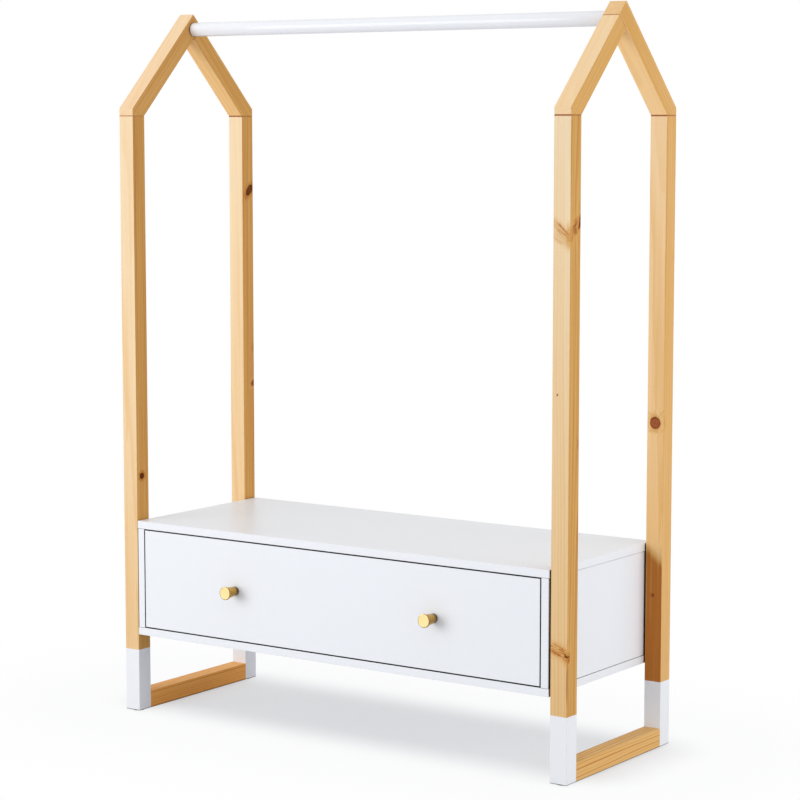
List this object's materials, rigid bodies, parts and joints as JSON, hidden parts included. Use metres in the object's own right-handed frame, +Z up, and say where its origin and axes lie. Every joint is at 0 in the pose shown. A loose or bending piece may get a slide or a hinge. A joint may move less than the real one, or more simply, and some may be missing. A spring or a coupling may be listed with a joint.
{
  "type": "kids clothing rack",
  "caption": "Low clothing rack with house-shaped wooden side frames, a round hanging rail between the ridges and a white drawer box between the posts.",
  "frame": {"origin": "on the floor, midway between the four feet", "axes": "+X along the hanging rail to the right, +Y to the back, +Z up; the drawer opens towards -Y"},
  "size_m": [0.89, 0.355, 1.1997],
  "materials": {
    "pine": "clear matt lacquer; the post feet are dipped in white paint",
    "white_rail": "satin white paint",
    "white_board": "satin white paint",
    "thin_board": "white faced hardboard",
    "dowel_wood": "plain beech",
    "dark_plastic": "matt",
    "steel": "zinc plated",
    "zinc": "die cast",
    "brass": "brushed, lacquered",
    "coated_steel": "white powder coat",
    "roller_plastic": "white nylon"
  },
  "bodies": {
    "rack": {"back_panel": "thin_board", "bottom_panel": "white_board", "box_dowels": "dowel_wood", "cabinet_roller_pins": "steel", "cabinet_runner_screws": "steel", "cam_bolts": "steel", "cam_locks": "zinc", "eaves_dowels": "dowel_wood", "floor_rail_dowels": "dowel_wood", "foot_glides": "dark_plastic", "frame_bolts": "steel", "hanging_rail": "white_rail", "left_back_post": "pine", "left_back_rafter": "pine", "left_cabinet_runner": "coated_steel", "left_floor_rail": "pine", "left_front_post": "pine", "left_front_rafter": "pine", "left_side_panel": "white_board", "rail_screws": "steel", "ridge_dowels": "dowel_wood", "right_back_post": "pine", "right_back_rafter": "pine", "right_cabinet_runner": "coated_steel", "right_floor_rail": "pine", "right_front_post": "pine", "right_front_rafter": "pine", "right_side_panel": "white_board", "spacer_rings": "dark_plastic", "threaded_inserts": "brass", "top_panel": "white_board"},
    "drawer": {"drawer_back": "white_board", "drawer_back_dowels": "dowel_wood", "drawer_bottom": "thin_board", "drawer_front": "white_board", "drawer_front_dowels": "dowel_wood", "drawer_roller_pins": "steel", "drawer_runner_screws": "steel", "knob_screws": "steel", "left_drawer_runner": "coated_steel", "left_drawer_side": "white_board", "left_knob": "brass", "right_drawer_runner": "coated_steel", "right_drawer_side": "white_board", "right_knob": "brass"},
    "left_cabinet_roller": {"left_cabinet_roller": "roller_plastic"},
    "right_cabinet_roller": {"right_cabinet_roller": "roller_plastic"},
    "left_drawer_roller": {"left_drawer_roller": "roller_plastic"},
    "right_drawer_roller": {"right_drawer_roller": "roller_plastic"}
  },
  "joints": [
    {"name": "drawer_slide", "type": "slide", "parent": "rack", "child": "drawer", "axis": [0, -1, 0], "range_m": [0, 0.19]},
    {"name": "left_cabinet_roller_turn", "type": "hinge", "parent": "rack", "child": "left_cabinet_roller", "pos_m": [-0.3941, -0.139, 0.1728], "axis": [1, 0, 0], "continuous": true},
    {"name": "left_drawer_roller_turn", "type": "hinge", "parent": "drawer", "child": "left_drawer_roller", "pos_m": [-0.3909, 0.0895, 0.1723], "axis": [1, 0, 0], "continuous": true},
    {"name": "right_cabinet_roller_turn", "type": "hinge", "parent": "rack", "child": "right_cabinet_roller", "pos_m": [0.3941, -0.139, 0.1728], "axis": [1, 0, 0], "continuous": true},
    {"name": "right_drawer_roller_turn", "type": "hinge", "parent": "drawer", "child": "right_drawer_roller", "pos_m": [0.3909, 0.0895, 0.1723], "axis": [1, 0, 0], "continuous": true}
  ],
  "couplings": [
    {"joint": "left_cabinet_roller_turn", "follows": "drawer_slide", "rad_per_m": 142.86},
    {"joint": "left_drawer_roller_turn", "follows": "drawer_slide", "rad_per_m": 142.86},
    {"joint": "right_cabinet_roller_turn", "follows": "drawer_slide", "rad_per_m": 142.86},
    {"joint": "right_drawer_roller_turn", "follows": "drawer_slide", "rad_per_m": 142.86}
  ]
}
